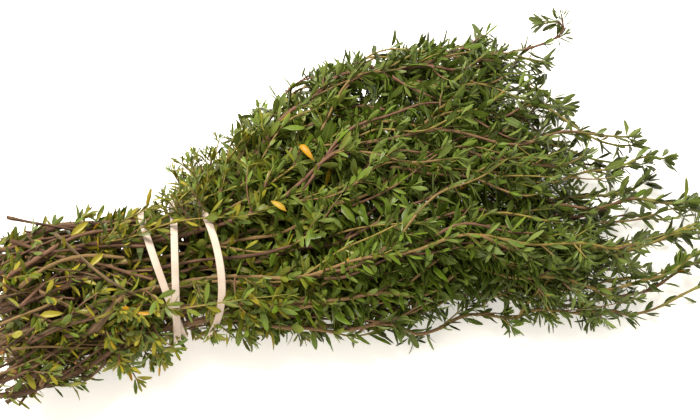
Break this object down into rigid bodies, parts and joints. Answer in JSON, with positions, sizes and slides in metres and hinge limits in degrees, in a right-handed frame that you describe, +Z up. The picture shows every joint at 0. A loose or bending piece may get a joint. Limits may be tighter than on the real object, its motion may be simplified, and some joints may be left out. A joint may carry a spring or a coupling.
{
  "type": "thyme bundle",
  "caption": "Bundle of fresh cut thyme lying on its side: woody stems fan out into leafy shoots, held near the cut ends by a wound rubber band.",
  "frame": {"origin": "middle of the footprint, on the surface that the bundle lies on", "axes": "+X along the bundle from the cut ends to the leafy tips, +Z up; the fan opens more to +Y than to -Y"},
  "size_m": [0.3416, 0.1704, 0.0696],
  "materials": {
    "thyme_wood": "dull purple-brown bark with pale fibres, paler orange-brown at the cut ends",
    "thyme_leaf": "soft satin leaf, mid green above and grey-green below, with a few yellowed leaves",
    "band_rubber": "matt pale pinkish cream"
  },
  "bodies": {
    "root": {"sprig_01_stem": "thyme_wood", "sprig_01_shoot": "thyme_leaf", "sprig_02_stem": "thyme_wood", "sprig_02_shoot": "thyme_leaf", "sprig_03_stem": "thyme_wood", "sprig_03_shoot": "thyme_leaf", "sprig_04_stem": "thyme_wood", "sprig_04_shoot": "thyme_leaf", "sprig_05_stem": "thyme_wood", "sprig_05_shoot": "thyme_leaf", "sprig_06_stem": "thyme_wood", "sprig_06_shoot": "thyme_leaf", "sprig_07_stem": "thyme_wood", "sprig_07_shoot": "thyme_leaf", "sprig_08_stem": "thyme_wood", "sprig_08_shoot": "thyme_leaf", "sprig_09_stem": "thyme_wood", "sprig_09_shoot": "thyme_leaf", "sprig_10_stem": "thyme_wood", "sprig_10_shoot": "thyme_leaf", "sprig_11_stem": "thyme_wood", "sprig_11_shoot": "thyme_leaf", "sprig_12_stem": "thyme_wood", "sprig_12_shoot": "thyme_leaf", "sprig_13_stem": "thyme_wood", "sprig_13_shoot": "thyme_leaf", "sprig_14_stem": "thyme_wood", "sprig_14_shoot": "thyme_leaf", "sprig_15_stem": "thyme_wood", "sprig_15_shoot": "thyme_leaf", "sprig_16_stem": "thyme_wood", "sprig_16_shoot": "thyme_leaf", "sprig_17_stem": "thyme_wood", "sprig_17_shoot": "thyme_leaf", "sprig_18_stem": "thyme_wood", "sprig_18_shoot": "thyme_leaf", "sprig_19_stem": "thyme_wood", "sprig_19_shoot": "thyme_leaf", "sprig_20_stem": "thyme_wood", "sprig_20_shoot": "thyme_leaf", "sprig_21_stem": "thyme_wood", "sprig_21_shoot": "thyme_leaf", "sprig_22_stem": "thyme_wood", "sprig_22_shoot": "thyme_leaf", "sprig_23_stem": "thyme_wood", "sprig_23_shoot": "thyme_leaf", "sprig_24_stem": "thyme_wood", "sprig_24_shoot": "thyme_leaf", "sprig_25_stem": "thyme_wood", "sprig_25_shoot": "thyme_leaf", "sprig_26_stem": "thyme_wood", "sprig_26_shoot": "thyme_leaf", "bare_twig_1": "thyme_wood", "bare_twig_2": "thyme_wood", "bare_twig_3": "thyme_wood", "rubber_band": "band_rubber"}
  },
  "joints": []
}
